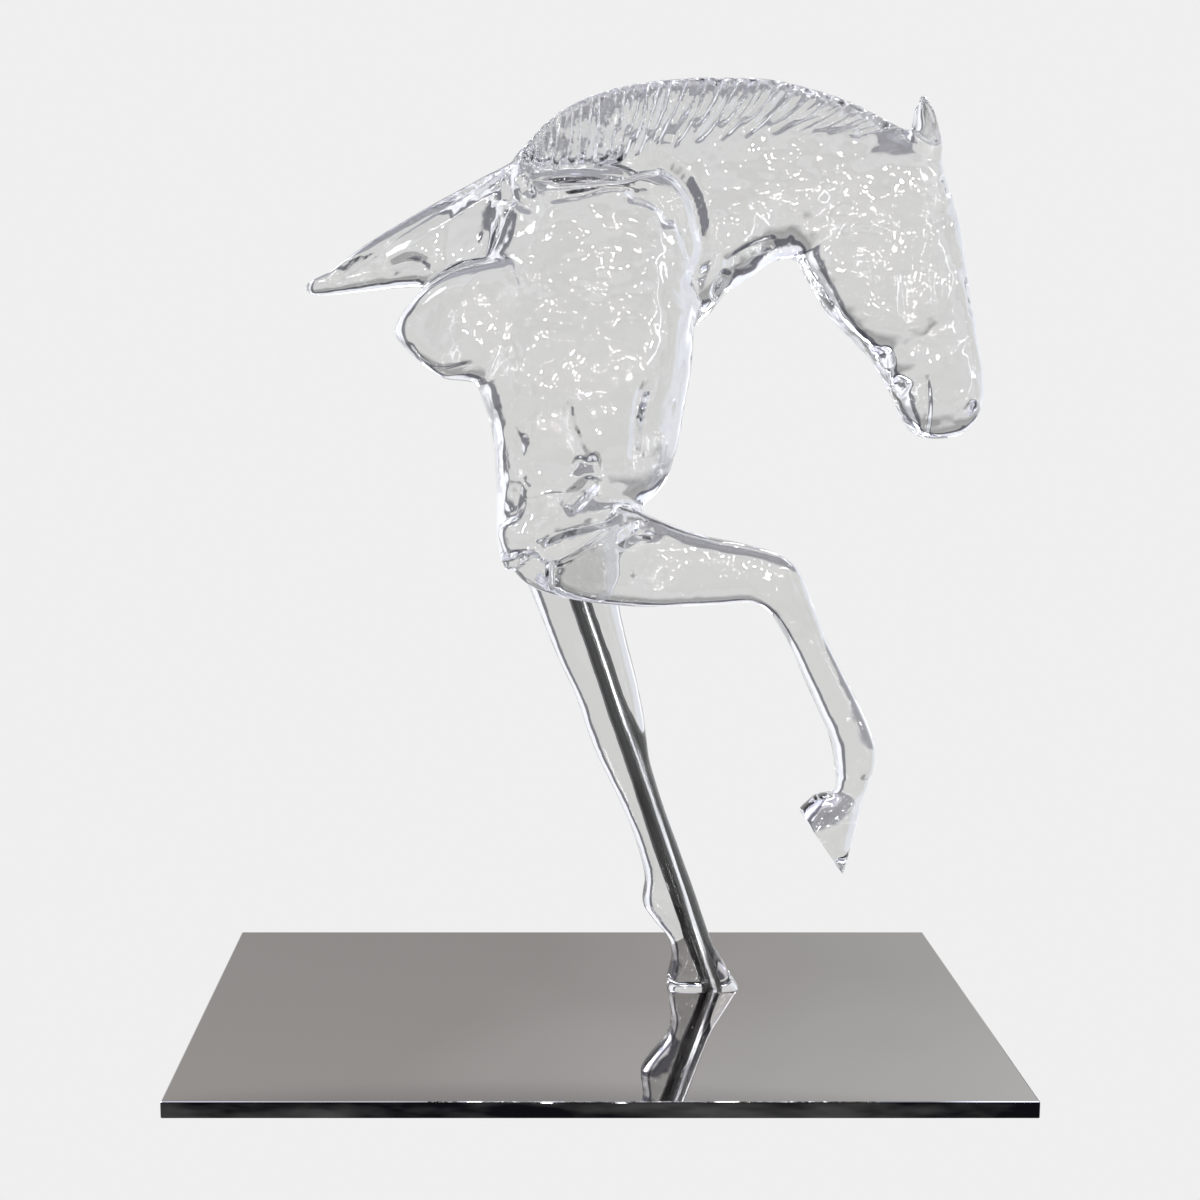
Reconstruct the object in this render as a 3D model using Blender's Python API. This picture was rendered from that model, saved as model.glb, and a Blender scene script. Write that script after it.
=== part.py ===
"""A clear resin horse, the forequarters only, standing on one foreleg on a steel plate.

The camera side of the horse is -Y, and the horse faces +X. The resin is one casting.
A straight steel rod runs up inside the standing leg and is let into a socket in the plate.
Lengths are in metres. Outlines of the horse are in hundredths of its height, as (u, v):
u runs forwards from the middle of the plate and v runs up from the top of the plate.
"""

import math

import bpy
import bmesh
import numpy as np
from mathutils import Matrix, Vector

# Base plate
PLATE_WIDTH = 0.600
PLATE_DEPTH = 0.360
PLATE_THICKNESS = 0.012
PLATE_EDGE = 0.0010

# Support rod, let into the plate and cast into the standing leg
ROD_RADIUS = 0.0075
ROD_TOP = 0.362
ROD_LEAN = math.radians(18.8)
ROD_SIDES = 32
SOCKET_DEPTH = 0.006
GAP = 0.0003

# Horse
FIGURE_HEIGHT = 0.704
SHARE = FIGURE_HEIGHT / 100
LEG_SPREAD = 0.046
ROD_FOOT_U = 14.05
VOXEL = 0.0030
SMOOTHING_STEPS = 6
SOLID_TRIANGLES = 9000

# The far side is plainer: this share of the near side's carving
FAR_SIDE = 0.12

SLAB = (0.200, 0.120, 0.060)
RAISED_SOLE = ((26.2, 17.4), (21.8, 23.9))

LEFT, RIGHT = 1, -1

# One row for each cross-section: the front or upper point (u, v), the back or lower point (u, v),
# the half width, the distance of its middle from the horse's middle plane, the fullness (2 is an
# ellipse, more is boxier) and the keel (above 0 it is wider at the front or top).
TORSO = [
    (3.4, 91.0, -7.4, 90.6, 3.4, 0, 2.9, 0),
    (6.6, 90.2, -8.6, 89.8, 6.0, 0, 3.1, 0),
    (9.4, 87.6, -9.4, 87.6, 7.3, 0, 3.3, 0),
    (11.0, 83.6, -10.6, 84.0, 8.3, 0, 3.3, 0),
    (11.1, 79.0, -12.0, 79.5, 9.2, 0, 3.1, 0.04),
    (10.0, 74.0, -13.0, 74.5, 10.2, 0, 3.7, 0.06),
    (9.2, 69.0, -12.6, 69.5, 10.5, 0, 3.7, 0.04),
    (8.3, 64.0, -10.9, 64.5, 10.1, 0, 3.7, 0),
    (7.0, 59.5, -10.4, 60.0, 9.4, 0, 3.7, 0),
    (5.4, 56.8, -10.3, 56.2, 8.9, 0, 3.2, 0),
    (3.2, 54.8, -10.4, 53.2, 8.3, 0, 3.0, 0),
    (0.6, 52.6, -9.8, 50.4, 7.3, 0, 2.8, 0),
    (-1.6, 51.2, -7.8, 49.0, 5.5, 0, 2.6, 0),
    (-3.0, 50.4, -6.0, 49.4, 3.2, 0, 2.4, 0),
]
BREAST = [
    (10.0, 77.8, 5.0, 76.6, 2.0, 2.4, 2.2, 0),
    (10.2, 74.4, 3.0, 72.6, 4.0, 3.3, 2.2, 0),
    (9.9, 70.0, 2.0, 68.6, 4.9, 3.8, 2.2, 0),
    (9.2, 65.6, 1.0, 64.4, 5.0, 4.0, 2.2, 0),
    (8.4, 61.4, 0.0, 60.6, 4.7, 4.0, 2.2, 0),
    (7.2, 58.2, -1.0, 57.4, 3.9, 3.9, 2.2, 0),
    (5.3, 56.1, -1.0, 56.0, 2.4, 3.8, 2.2, 0),
]
NECK = [
    (-9.4, 90.6, -7.0, 84.6, 3.4, 0, 2.5, -0.20),
    (-7.6, 92.8, -3.6, 79.0, 4.6, 0, 2.5, -0.36),
    (-5.0, 95.6, 1.0, 75.4, 5.3, 0, 2.5, -0.44),
    (-1.0, 98.0, 7.2, 73.2, 5.9, 0, 2.6, -0.48),
    (3.6, 99.3, 11.4, 75.2, 6.1, 0, 2.6, -0.50),
    (8.2, 99.85, 13.8, 77.9, 5.7, 0, 2.6, -0.48),
    (13.0, 100.0, 16.2, 79.5, 5.3, 0, 2.6, -0.44),
    (18.0, 99.8, 18.4, 81.1, 4.9, 0, 2.6, -0.38),
    (23.6, 98.5, 21.0, 81.4, 4.7, 0, 2.6, -0.28),
    (28.5, 96.6, 24.6, 79.0, 4.4, 0, 2.6, -0.20),
    (31.8, 94.8, 28.4, 76.6, 3.9, 0, 2.6, -0.10),
    (33.6, 93.4, 31.4, 78.0, 2.8, 0, 2.5, 0),
]
HEAD = [
    (33.6, 94.2, 27.0, 95.6, 2.4, 0, 3.2, 0),
    (35.5, 91.4, 23.0, 88.8, 4.5, 0, 3.6, 0.06),
    (37.2, 86.3, 21.5, 82.4, 5.1, 0, 4.2, 0.03),
    (38.3, 82.0, 22.7, 79.2, 5.1, 0, 4.2, -0.01),
    (39.2, 77.3, 25.2, 75.4, 4.8, 0, 4.2, -0.03),
    (39.9, 73.8, 27.6, 73.0, 4.4, 0, 4.2, -0.03),
    (40.5, 71.0, 29.6, 70.8, 4.0, 0, 4.0, 0),
    (40.8, 68.6, 31.2, 68.2, 3.7, 0, 4.0, 0.02),
    (40.8, 66.6, 32.2, 66.2, 3.5, 0, 4.0, 0.04),
    (40.2, 64.9, 33.0, 64.5, 3.2, 0, 3.8, 0.04),
    (39.1, 63.5, 34.0, 63.3, 2.7, 0, 3.4, 0),
    (37.6, 62.8, 35.0, 62.8, 1.7, 0, 3.0, 0),
]
BACK_SPUR = [
    (-6.8, 92.2, -8.4, 82.0, 4.6, 0, 3.2, -0.06),
    (-11.4, 90.0, -13.0, 79.2, 4.0, 0, 3.4, -0.05),
    (-15.1, 88.1, -16.0, 78.7, 3.5, 0, 3.5, -0.04),
    (-20.3, 85.2, -20.6, 78.5, 3.0, 0, 3.5, -0.04),
    (-24.5, 82.6, -24.7, 78.1, 2.4, 0, 3.2, -0.04),
    (-27.6, 80.3, -27.7, 77.8, 1.7, 0, 2.8, 0),
    (-29.6, 79.4, -29.6, 77.8, 1.1, 0, 2.4, 0),
    (-30.4, 78.9, -30.4, 78.2, 0.4, 0, 2.0, 0),
]
RIB_LOBE = [
    (-9.0, 81.4, -7.0, 66.5, 4.6, 4.6, 3.6, 0),
    (-13.6, 80.4, -11.6, 68.6, 4.8, 4.2, 3.8, 0),
    (-17.0, 78.8, -15.4, 69.1, 4.5, 3.8, 3.8, 0),
    (-19.2, 76.7, -18.0, 70.8, 3.9, 3.6, 3.6, 0),
    (-20.4, 75.0, -19.7, 72.3, 3.0, 3.4, 3.2, 0),
    (-20.8, 73.9, -20.6, 73.3, 1.0, 3.4, 2.3, 0),
]
NEAR_EAR = [
    (35.6, 90.5, 31.4, 92.6, 1.3, 2.5, 2.0, 0),
    (35.5, 93.0, 32.6, 94.0, 1.3, 2.7, 2.0, 0),
    (34.9, 95.2, 32.5, 95.6, 1.1, 2.9, 2.0, 0),
    (34.1, 96.9, 32.7, 97.0, 0.7, 3.0, 2.0, 0),
    (33.4, 98.0, 33.1, 98.1, 0.3, 3.0, 2.0, 0),
]
FAR_EAR = [(a + 0.9, b - 0.2, c + 0.9, d - 0.2, *rest) for a, b, c, d, *rest in NEAR_EAR]
RAISED_LEG = [
    (-2.4, 60.6, -10.2, 53.6, 2.2, 0, 2.6, 0),
    (0.0, 57.6, -9.2, 50.6, 3.6, 0, 2.8, 0),
    (3.2, 56.4, -6.8, 48.0, 4.1, 0, 3.2, 0),
    (6.0, 55.0, -2.4, 46.6, 4.1, 0, 3.5, 0),
    (10.8, 53.2, 5.0, 45.8, 3.7, 0, 3.7, 0),
    (15.5, 52.2, 12.2, 46.1, 3.2, 0, 3.7, 0),
    (19.0, 51.2, 15.9, 46.3, 3.0, 0, 3.6, 0),
    (21.0, 49.6, 17.9, 45.4, 3.0, 0, 3.5, 0),
    (22.2, 47.0, 19.2, 43.6, 2.6, 0, 3.2, 0),
    (23.7, 43.2, 20.4, 41.4, 2.1, 0, 2.8, 0),
    (25.6, 39.3, 21.9, 38.0, 2.0, 0, 2.8, 0),
    (27.4, 35.9, 23.4, 34.8, 2.0, 0, 2.8, 0),
    (28.8, 32.9, 24.6, 32.1, 2.2, 0, 2.8, 0),
    (29.5, 30.4, 25.2, 29.4, 2.4, 0, 2.9, 0),
    (29.2, 28.2, 25.5, 27.4, 2.3, 0, 2.9, 0),
    (28.5, 26.4, 25.4, 25.8, 2.1, 0, 2.8, 0),
    (28.2, 25.0, 23.6, 25.6, 2.4, 0, 2.8, 0),
    (27.4, 21.6, 22.6, 24.8, 3.0, 0, 2.8, 0),
    (26.1, 16.6, 21.5, 23.8, 3.4, 0, 2.8, 0),
]

# The standing leg is cast round the rod, so its sections are measured from the rod: the share of
# height along it, the resin in front of it, behind it and beside it, and the fullness.
STANDING_LEG = [
    (60.5, 4.2, 2.6, 1.3, 2.8),
    (57.0, 5.6, 3.4, 2.5, 2.9),
    (53.0, 4.6, 3.9, 2.8, 3.0),
    (49.5, 3.6, 3.7, 2.8, 3.2),
    (45.5, 2.9, 3.5, 2.6, 3.4),
    (41.5, 2.45, 3.25, 2.3, 3.4),
    (37.5, 2.15, 2.8, 2.1, 3.2),
    (33.5, 1.7, 2.8, 2.0, 3.0),
    (30.2, 1.1, 2.7, 1.7, 2.8),
    (27.4, 0.55, 2.35, 1.4, 2.7),
    (24.0, 0.42, 1.95, 1.1, 2.6),
    (20.6, 0.40, 1.7, 1.0, 2.5),
    (17.0, 0.50, 1.75, 1.0, 2.5),
    (14.4, 0.55, 2.1, 1.0, 2.6),
    (12.0, 0.60, 3.2, 1.05, 2.8),
    (9.6, 0.60, 2.6, 1.05, 3.0),
    (7.2, 0.60, 1.7, 1.05, 3.2),
    (4.8, 0.65, 2.0, 1.1, 3.8),
    (2.4, 1.1, 3.3, 1.2, 4.6),
    (0.0, 1.6, 4.2, 1.3, 5.0),
    (-2.2, 2.1, 4.9, 1.3, 5.0),
]

# Sharp channels cut into the horse's skin: the path in shares, the half width, the depth and the
# sides that they are on.
BOTH = (LEFT, RIGHT)
CHANNELS = [
    # Neck against shoulder, with a rolled lip between the two
    ([(-6.6, 89.0), (-5.0, 89.3), (-1.8, 89.3), (0.7, 89.6), (2.2, 89.7), (4.2, 90.4), (6.4, 90.7), (7.6, 90.3)],
     1.2, 1.2, BOTH),
    ([(5.6, 90.6), (6.9, 90.5), (8.4, 89.4), (9.7, 87.4), (10.4, 84.8), (10.9, 82.1), (10.0, 79.6), (9.2, 77.9)],
     1.15, 1.4, BOTH),
    (
        [(-5.3, 86.9), (-3.3, 87.4), (-0.8, 88.0), (1.0, 88.5), (3.7, 88.4), (6.2, 87.7), (7.8, 86.1),
         (8.8, 83.4), (9.3, 81.0)],
        0.7, 0.8, BOTH,
    ),
    ([(2.6, 87.8), (4.2, 87.8), (6.0, 87.2), (7.4, 85.8), (8.0, 84.4)], 1.4, 1.3, BOTH),
    # Hollows of the flank and chest
    ([(-7.9, 62.3), (-7.7, 60.6), (-7.3, 58.9)], 1.3, 0.65, BOTH),
    ([(-8.0, 58.4), (-8.2, 57.2), (-8.6, 55.6)], 1.2, 0.6, BOTH),
    ([(-3.1, 68.4), (-2.9, 66.0), (-2.4, 64.0), (-1.5, 61.9)], 0.75, 0.8, BOTH),
    ([(-1.8, 60.7), (-0.8, 60.4), (0.3, 60.7)], 1.7, 1.7, BOTH),
    ([(-0.2, 59.6), (-1.4, 57.8), (-3.4, 56.2)], 1.2, 1.1, BOTH),
    ([(5.3, 69.6), (4.4, 67.5), (4.0, 65.1), (3.9, 62.6), (3.7, 60.0)], 0.85, 0.85, BOTH),
    # Folds over the elbow
    ([(-6.2, 52.6), (-4.1, 53.8), (-1.7, 54.4), (0.4, 55.0), (2.4, 55.8)], 0.85, 1.2, (RIGHT,)),
    ([(-6.2, 51.8), (-4.9, 51.0), (-3.5, 51.2), (-1.4, 52.5), (1.6, 54.7)], 0.5, 0.6, (RIGHT,)),
    ([(-4.7, 51.4), (-4.8, 49.8), (-4.8, 47.8)], 0.5, 0.6, (RIGHT,)),
    ([(2.2, 52.4), (4.4, 54.0), (6.8, 53.2)], 0.95, 1.3, (RIGHT,)),
    # Back and rib lobes
    ([(-19.2, 72.9), (-18.2, 71.1), (-15.9, 69.9), (-13.9, 70.3), (-12.3, 70.8)], 0.5, 0.4, BOTH),
    ([(-21.6, 80.4), (-20.3, 80.9), (-18.9, 81.1), (-17.2, 80.6)], 0.9, 0.75, BOTH),
    ([(-22.6, 82.1), (-20.6, 83.4), (-18.0, 85.0), (-14.9, 86.8), (-11.9, 88.4), (-8.2, 89.9)], 1.25, 1.2, BOTH),
    ([(-27.8, 79.0), (-25.6, 80.3), (-23.7, 81.5), (-21.4, 82.9)], 0.9, 0.85, BOTH),
    # Jaw, mouth and nostril
    ([(28.4, 71.4), (29.6, 71.2), (30.8, 71.6)], 1.2, 0.9, BOTH),
    ([(30.9, 68.6), (31.7, 68.3), (32.5, 67.8)], 1.1, 1.1, BOTH),
    ([(34.3, 69.6), (34.7, 66.4), (34.6, 62.8)], 0.4, 0.45, BOTH),
    ([(38.7, 65.4), (39.1, 66.2), (39.6, 66.8)], 0.6, 0.7, BOTH),
    ([(30.4, 94.4), (31.4, 94.3), (31.8, 93.6), (32.3, 92.8)], 0.4, 0.45, BOTH),
    ([(35.3, 89.8), (35.9, 88.8), (36.4, 87.6)], 0.7, 0.6, BOTH),
    ([(38.0, 79.6), (38.6, 77.6), (39.0, 75.4)], 0.5, 0.45, BOTH),
    # Throat
    ([(12.8, 80.6), (14.4, 81.5), (15.4, 82.1), (17.0, 82.7), (18.6, 83.3)], 0.8, 0.7, BOTH),
    ([(12.0, 77.2), (12.4, 78.7), (13.4, 80.2)], 0.6, 0.5, BOTH),
    # Back of the raised hoof
    ([(22.0, 25.2), (23.8, 25.8), (25.5, 25.6)], 0.7, 0.5, BOTH),
]

# Soft hollows and, with a depth below 0, soft swellings, where side 0 is all round.
CARVING = [
    ([(-9.2, 89.8), (-8.8, 87.9), (-7.6, 86.6), (-6.2, 86.0)], 0.7, 0.4, BOTH),
    ([(-7.6, 89.6), (-7.0, 88.2), (-6.4, 87.2)], 0.6, 0.35, BOTH),
    ([(4.9, 48.0), (5.9, 50.6), (7.2, 53.4)], 2.3, 0.5, (RIGHT,)),
    ([(-8.3, 51.6), (-8.1, 50.8), (-7.8, 50.2)], 2.6, -0.9, (RIGHT,)),
    ([(33.8, 84.7), (35.2, 85.4), (36.9, 86.1)], 0.8, 0.35, BOTH),
    ([(33.4, 83.7), (34.4, 83.5)], 0.5, 0.3, BOTH),
    ([(33.4, 86.6), (34.6, 87.4), (35.8, 87.3)], 1.1, -0.20, BOTH),
    ([(26.7, 87.1), (23.7, 86.7), (20.7, 84.4)], 1.6, 0.25, BOTH),
    ([(24.5, 84.3), (25.7, 84.7), (27.9, 84.9), (30.0, 84.5)], 0.7, 0.3, BOTH),
    ([(31.1, 81.0), (31.6, 78.2), (32.1, 74.6)], 0.8, 0.3, BOTH),
    ([(33.4, 81.0), (33.9, 77.6), (34.4, 74.6)], 0.9, -0.25, BOTH),
    ([(34.0, 73.1), (34.6, 74.0), (35.4, 74.7)], 0.4, 0.3, BOTH),
    ([(17.8, 51.0), (19.2, 50.2), (20.2, 48.8)], 1.1, -0.25, BOTH),
    ([(25.2, 27.9), (27.8, 27.5), (30.0, 28.0)], 0.5, 0.22, (0,)),
]

# The mane's grooves: the root, the middle and the tip of one in every group, in shares.
MANE = [
    (-7.6, 94.4, -7.4, 92.2, -7.2, 90.4),
    (-4.9, 96.6, -5.0, 92.8, -5.2, 89.6),
    (-2.2, 98.2, -2.3, 93.6, -2.7, 89.8),
    (0.8, 99.4, 0.4, 94.4, -0.1, 89.9),
    (3.7, 100.2, 3.1, 94.9, 1.9, 90.4),
    (6.8, 100.6, 5.6, 95.5, 4.0, 91.4),
    (11.2, 100.9, 9.4, 96.3, 7.0, 92.4),
    (15.9, 100.9, 13.7, 96.5, 10.9, 92.8),
    (21.0, 100.2, 18.2, 96.7, 14.7, 93.3),
    (25.9, 98.8, 22.8, 96.3, 18.8, 93.7),
    (29.4, 97.2, 26.6, 95.4, 22.8, 93.8),
    (31.8, 95.8, 29.4, 94.8, 26.6, 93.8),
]
MANE_LOCKS = 24
LOCK_DEPTH = 0.32

RESIN = ("clear_resin", (0.86, 0.88, 0.87), 0.03, 0.0)
POLISHED_STEEL = ("polished_steel", (0.58, 0.57, 0.56), 0.08, 1.0)
ROD_STEEL = ("rod_steel", (0.62, 0.61, 0.60), 0.16, 1.0)


def clear_scene():
    for item in list(bpy.data.objects):
        bpy.data.objects.remove(item)


def material(look):
    name, colour, roughness, metallic = look
    made = bpy.data.materials.new(name)
    made.use_nodes = True
    shader = made.node_tree.nodes["Principled BSDF"]
    shader.inputs["Base Color"].default_value = (*colour, 1)
    shader.inputs["Roughness"].default_value = roughness
    shader.inputs["Metallic"].default_value = metallic
    return made


def add_object(name, mesh, look=None):
    """A piece with its material or, with no look, a cutter that is left out of the object."""
    item = bpy.data.objects.new(name, mesh)
    bpy.context.scene.collection.objects.link(item)
    if look:
        mesh.materials.append(material(look))
    else:
        item.hide_render = True
        item.display_type = "WIRE"
    return item


def cut(item, cutter):
    modifier = item.modifiers.new(cutter.name, "BOOLEAN")
    modifier.operation = "DIFFERENCE"
    modifier.solver = "EXACT"
    modifier.object = cutter


def smooth_rows(rows, per_span):
    """The rows with others between them, on one smooth curve through all of them."""
    rows = np.array(rows, float)
    padded = np.vstack([2 * rows[0] - rows[1], rows, 2 * rows[-1] - rows[-2]])
    made = []
    for a, b, c, d in zip(padded, padded[1:], padded[2:], padded[3:]):
        for t in np.arange(per_span) / per_span:
            bend = t * (2 * a - 5 * b + 4 * c - d + t * (3 * (b - c) + d - a))
            made.append(b + 0.5 * t * (c - a + bend))
    made.append(rows[-1])
    return np.array(made)


def add_loft(shape, sections, sides=40):
    """Skins a run of closed sections, each a function of the turn round it, and caps both ends."""
    turns = [2 * math.pi * i / sides for i in range(sides)]
    rings = [[shape.verts.new(section(turn)) for turn in turns] for section in sections]
    for ring, following in zip(rings, rings[1:]):
        for i in range(sides):
            j = (i + 1) % sides
            shape.faces.new((ring[i], ring[j], following[j], following[i]))
    shape.faces.new(rings[0][::-1])
    shape.faces.new(rings[-1])


def rounded(value, fullness):
    return math.copysign(abs(value) ** (2 / fullness), value)


def outline_section(row, side, spread):
    """A section of the horse from a row of front and back points. Its widths lie along Y."""
    front_u, front_v, back_u, back_v, half_width, offset, fullness, keel = row
    middle = Vector((front_u + back_u, 0, front_v + back_v)) / 2 * SHARE
    reach = Vector((front_u - back_u, 0, front_v - back_v)) / 2 * SHARE
    middle.y = side * (offset * SHARE + spread)
    middle.z += PLATE_THICKNESS

    def point(turn):
        along = rounded(math.cos(turn), fullness)
        across = rounded(math.sin(turn), fullness) * half_width * (1 + keel * along)
        return middle + reach * along + Vector((0, across * SHARE, 0))

    return point


def rod_frame():
    """The rod's foot on the plate's top, the way up it and the way forwards across it."""
    foot = Vector((ROD_FOOT_U * SHARE, LEG_SPREAD, PLATE_THICKNESS))
    up = Vector((-math.sin(ROD_LEAN), 0, math.cos(ROD_LEAN)))
    ahead = Vector((math.cos(ROD_LEAN), 0, math.sin(ROD_LEAN)))
    return foot, up, ahead


def rod_section(row):
    """A section of the standing leg, square to the rod, from the resin that covers the rod."""
    along, ahead_of, behind, beside, fullness = row
    foot, up, ahead = rod_frame()
    front = ROD_RADIUS + GAP + ahead_of * SHARE
    back = ROD_RADIUS + GAP + behind * SHARE
    width = ROD_RADIUS + GAP + beside * SHARE
    middle = foot + up * along * SHARE + ahead * (front - back) / 2

    def point(turn):
        across = Vector((0, rounded(math.sin(turn), fullness) * width, 0))
        return middle + ahead * rounded(math.cos(turn), fullness) * (front + back) / 2 + across

    return point


def horse_masses():
    """The horse's main forms, overlapping, in one mesh."""
    shape = bmesh.new()
    for rows, sides, spread in (
        (TORSO, (0,), 0),
        (BREAST, (LEFT, RIGHT), 0),
        (NECK, (0,), 0),
        (HEAD, (0,), 0),
        (BACK_SPUR, (0,), 0),
        (RIB_LOBE, (LEFT, RIGHT), 0),
        (NEAR_EAR, (RIGHT,), 0),
        (FAR_EAR, (LEFT,), 0),
        (RAISED_LEG, (RIGHT,), LEG_SPREAD),
    ):
        for side in sides:
            add_loft(shape, [outline_section(row, side, spread) for row in smooth_rows(rows, 6)])
    add_loft(shape, [rod_section(row) for row in smooth_rows(STANDING_LEG, 6)])
    bmesh.ops.recalc_face_normals(shape, faces=shape.faces)
    mesh = bpy.data.meshes.new("horse")
    shape.to_mesh(mesh)
    shape.free()
    return mesh


def applied(item):
    """The mesh that an object's modifiers make, in place of its own."""
    graph = bpy.context.evaluated_depsgraph_get()
    graph.update()
    mesh = bpy.data.meshes.new_from_object(item.evaluated_get(graph))
    item.modifiers.clear()
    item.data = mesh
    return mesh


def fuse(item):
    """Joins the overlapping forms into one skin and eases the creases between them."""
    remesh = item.modifiers.new("Fuse", "REMESH")
    remesh.mode = "VOXEL"
    remesh.voxel_size = VOXEL
    smooth = item.modifiers.new("Ease", "SMOOTH")
    smooth.factor = 0.5
    smooth.iterations = SMOOTHING_STEPS
    return applied(item)


def distance_to_path(points, path):
    """How far each point is from the path, and how far along the path it lies, from 0 to 1."""
    nearest = np.full(len(points), np.inf)
    place = np.zeros(len(points))
    spans = len(path) - 1
    for i, (start, end) in enumerate(zip(path, path[1:])):
        span = end - start
        share = np.clip((points - start) @ span / max(span @ span, 1e-12), 0, 1)
        distance = np.linalg.norm(points - start - share[:, None] * span, axis=1)
        closer = distance < nearest
        nearest[closer] = distance[closer]
        place[closer] = (i + share[closer]) / spans
    return nearest, place


def mane_locks():
    """The mane's grooves as carving, each a little unlike the next."""
    strokes = []
    for i, row in enumerate(smooth_rows(MANE, MANE_LOCKS // (len(MANE) - 1) * 5)[:: 5]):
        root, middle, tip = row[:2], row[2:4], row[4:]
        reach = 0.78 + 0.22 * math.sin(7.3 * i)
        end = root + (tip - root) * reach
        sway = np.array([0.35 * math.sin(4.1 * i), 0.0])
        path = np.array([root, root + (middle - root) * reach + sway, end])
        strokes.append((path, 0.75, LOCK_DEPTH * (0.8 + 0.2 * math.sin(2.7 * i)), (0,)))
    return strokes


def carve(mesh, strokes, sharp=False):
    """Moves the skin in or out beside each stroke's path, fading to its edges and ends."""
    count = len(mesh.vertices)
    points = np.empty(count * 3)
    normals = np.empty(count * 3)
    mesh.vertices.foreach_get("co", points)
    mesh.vertex_normals.foreach_get("vector", normals)
    points = points.reshape(-1, 3)
    normals = normals.reshape(-1, 3)
    flat = np.column_stack([points[:, 0], points[:, 2] - PLATE_THICKNESS]) / SHARE
    depth_at = np.zeros(count)
    for path, half_width, depth, sides in strokes:
        path = smooth_rows(path, 4)
        low, high = path.min(axis=0) - half_width, path.max(axis=0) + half_width
        near = np.flatnonzero(((flat > low) & (flat < high)).all(axis=1))
        distance, place = distance_to_path(flat[near], path)
        share = np.clip(distance / half_width, 0, 1)
        fade = 1 - share if sharp else (1 - share**2) ** 1.5
        fade *= np.clip(5 * np.minimum(place, 1 - place), 0, 1)
        for side in sides:
            facing = 1 if side == 0 else np.clip(2.5 * side * normals[near, 1], 0, 1)
            facing = facing * (side * points[near, 1] >= 0)
            facing = facing * (FAR_SIDE if side == LEFT else 1)
            wanted = depth * fade * facing
            if sharp:
                wanted = np.minimum(wanted, 0.45 * np.abs(points[near, 1]) / SHARE)
                depth_at[near] = np.maximum(depth_at[near], wanted)
            else:
                depth_at[near] += wanted
    points -= normals * depth_at[:, None] * SHARE
    mesh.vertices.foreach_set("co", points.ravel())
    mesh.update()


def build_horse():
    """One casting: fused, carved, thinned to flat facets, then cut flat below and bored."""
    item = add_object("horse", horse_masses(), RESIN)
    mesh = fuse(item)
    carve(mesh, CARVING + mane_locks())
    carve(mesh, CHANNELS, sharp=True)
    thin = item.modifiers.new("Thin", "DECIMATE")
    thin.ratio = SOLID_TRIANGLES / (2 * len(mesh.polygons))
    cut(item, slab_cutter("standing_sole_cutter", Vector((0.06, LEG_SPREAD, PLATE_THICKNESS + GAP)), 0))
    toe, heel = (Vector((u * SHARE, -LEG_SPREAD, v * SHARE + PLATE_THICKNESS)) for u, v in RAISED_SOLE)
    lean = math.atan2(heel.z - toe.z, toe.x - heel.x)
    cut(item, slab_cutter("raised_sole_cutter", (toe + heel) / 2, lean))
    cut(item, rod_cylinder("rod_bore_cutter", ROD_RADIUS + GAP, -0.030, ROD_TOP + GAP))
    return item


def slab_cutter(name, top_middle, lean):
    """A block whose top face passes through a point, leaning back by an angle about Y."""
    shape = bmesh.new()
    bmesh.ops.create_cube(shape, size=1)
    block = Matrix.Diagonal((*SLAB, 1))
    turn = Matrix.Rotation(lean, 4, "Y")
    middle = top_middle - turn @ Vector((0, 0, SLAB[2] / 2))
    bmesh.ops.transform(shape, matrix=Matrix.Translation(middle) @ turn @ block, verts=shape.verts)
    mesh = bpy.data.meshes.new(name)
    shape.to_mesh(mesh)
    shape.free()
    return add_object(name, mesh)


def rod_cylinder(name, radius, bottom, top, look=None):
    """A cylinder on the rod's axis between two places along it, with ends square to the axis."""
    foot, up, ahead = rod_frame()
    shape = bmesh.new()
    bmesh.ops.create_cone(
        shape, cap_ends=True, segments=ROD_SIDES, radius1=radius, radius2=radius, depth=top - bottom
    )
    turn = Matrix.Rotation(-ROD_LEAN, 4, "Y")
    middle = foot + up * (bottom + top) / 2
    bmesh.ops.transform(shape, matrix=Matrix.Translation(middle) @ turn, verts=shape.verts)
    mesh = bpy.data.meshes.new(name)
    shape.to_mesh(mesh)
    shape.free()
    return add_object(name, mesh, look)


def build_plate():
    """A flat plate with eased edges and a blind socket that slants with the rod."""
    shape = bmesh.new()
    bmesh.ops.create_cube(shape, size=1)
    size = Matrix.Diagonal((PLATE_WIDTH, PLATE_DEPTH, PLATE_THICKNESS, 1))
    lift = Matrix.Translation((0, 0, PLATE_THICKNESS / 2))
    bmesh.ops.transform(shape, matrix=lift @ size, verts=shape.verts)
    mesh = bpy.data.meshes.new("base_plate")
    shape.to_mesh(mesh)
    shape.free()
    item = add_object("base_plate", mesh, POLISHED_STEEL)
    edge = item.modifiers.new("Edge", "BEVEL")
    edge.width = PLATE_EDGE
    edge.segments = 2
    cut(item, rod_cylinder("socket_cutter", ROD_RADIUS + GAP, -SOCKET_DEPTH - GAP, 0.030))
    return item


def build_rod():
    item = rod_cylinder("support_rod", ROD_RADIUS, -SOCKET_DEPTH, ROD_TOP, ROD_STEEL)
    item.data.shade_smooth()
    return item


clear_scene()
build_plate()
build_rod()
build_horse()
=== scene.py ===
"""The looks of the clear resin horse: its fine surface, resin and steel, floor, light and camera.

The horse's outlines are in hundredths of its height, as (u, v), and all else is in metres.
"""

import math

import bmesh
import bpy
import numpy as np
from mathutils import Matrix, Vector, noise


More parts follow.
